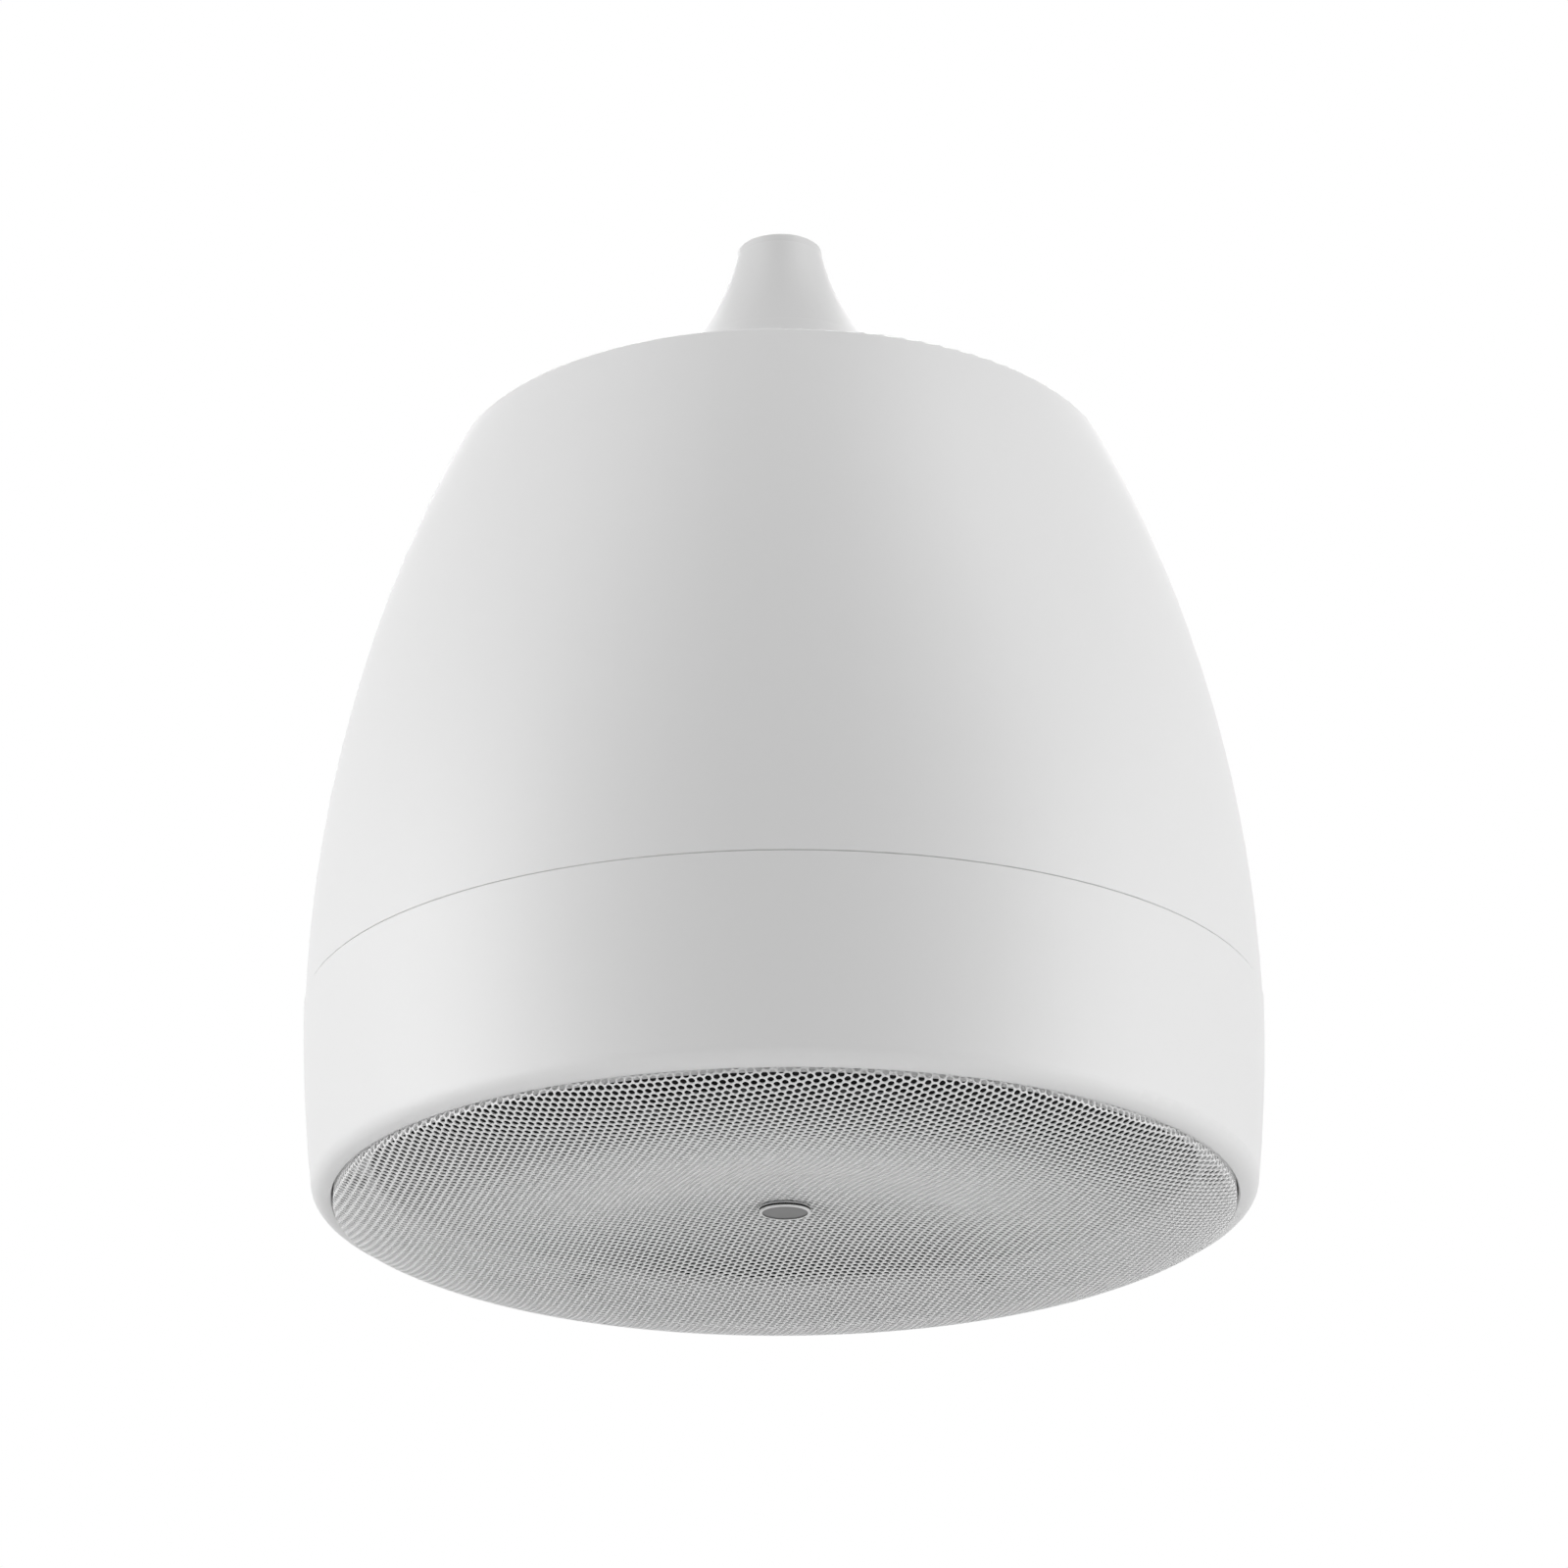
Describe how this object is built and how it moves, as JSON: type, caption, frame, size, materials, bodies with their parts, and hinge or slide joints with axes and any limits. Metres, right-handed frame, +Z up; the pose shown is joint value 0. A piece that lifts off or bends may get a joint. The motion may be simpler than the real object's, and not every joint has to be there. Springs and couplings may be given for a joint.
{
  "type": "pendant speaker",
  "caption": "White bell-shaped loudspeaker that hangs from a flared cable cover on top, with a dished, finely perforated steel grille and a small bare badge below.",
  "frame": {"origin": "centre of the mouth of the threaded suspension hole, under the flared cover, where the speaker hangs", "axes": "+Z up along the speaker's axis and out of the suspension hole; the grille faces -Z; the terminal block lies towards -X and the safety eye towards +X"},
  "size_m": [0.3004, 0.3004, 0.3422],
  "materials": {
    "shell_white": "satin, finely grained, white",
    "grille_white": "satin powder coat, white",
    "badge_grey": "satin grey disc with a bright rim",
    "zinc_steel": "bright zinc plate",
    "black_steel": "black passivated steel",
    "ferrite": "matt dark grey ceramic magnet",
    "black_rubber": "matt black rubber",
    "black_foam": "closed-cell foam",
    "cone_black": "coated paper pulp, black",
    "coil_copper": "enamelled copper wire",
    "former_alu": "thin aluminium tube",
    "spider_cloth": "resin-stiffened cotton",
    "felt_grey": "grey polyester felt",
    "black_plastic": "black moulded plastic",
    "dome_silk": "coated textile dome",
    "baffle_black": "black moulded plastic, matt",
    "board_green": "green circuit board",
    "terminal_green": "green terminal block",
    "capacitor_red": "red film capacitor",
    "resistor_cream": "cream ceramic resistor",
    "lamination": "varnished steel laminations"
  },
  "bodies": {
    "cabinet": {"cable_cover": "shell_white", "upper_shell": "shell_white", "lower_ring": "shell_white", "grille": "grille_white", "badge": "badge_grey", "badge_clip": "zinc_steel", "suspension_boss": "zinc_steel", "boss_nut": "zinc_steel", "hanger_plate": "zinc_steel", "hanger_screws": "zinc_steel", "safety_eye": "zinc_steel", "eye_nut": "zinc_steel", "terminal_block": "terminal_green", "terminal_screws": "zinc_steel", "clamp_screws": "zinc_steel", "damping_lining": "felt_grey", "crossover_board": "board_green", "board_standoffs": "black_plastic", "board_screws": "zinc_steel", "inductor_coil": "coil_copper", "capacitors": "capacitor_red", "resistor": "resistor_cream", "transformer_core": "lamination", "transformer_winding": "coil_copper", "transformer_strap": "zinc_steel", "strap_screws": "zinc_steel", "baffle": "baffle_black", "baffle_gasket": "black_foam", "port_tube": "black_plastic", "woofer_basket": "black_steel", "woofer_gasket": "black_foam", "surround": "black_rubber", "spider": "spider_cloth", "back_plate": "zinc_steel", "tweeter_post": "zinc_steel", "post_nut": "zinc_steel", "tweeter_housing": "black_plastic", "tweeter_magnet": "ferrite", "tweeter_dome": "dome_silk", "tweeter_faceplate": "black_plastic", "seam_gasket": "black_foam", "grille_gasket": "black_foam", "surround_trim": "black_rubber", "top_plate": "zinc_steel", "magnet": "ferrite", "shell_screws": "zinc_steel", "woofer_screws": "black_steel"},
    "moving_cone": {"cone": "cone_black", "voice_coil_former": "former_alu", "voice_coil": "coil_copper"}
  },
  "joints": [
    {"name": "cone_travel", "type": "slide", "parent": "cabinet", "child": "moving_cone", "axis": [0, 0, 1], "range_m": [-0.004, 0.004], "stiffness_N_per_m": 2500, "deforming": ["surround", "spider"]}
  ]
}
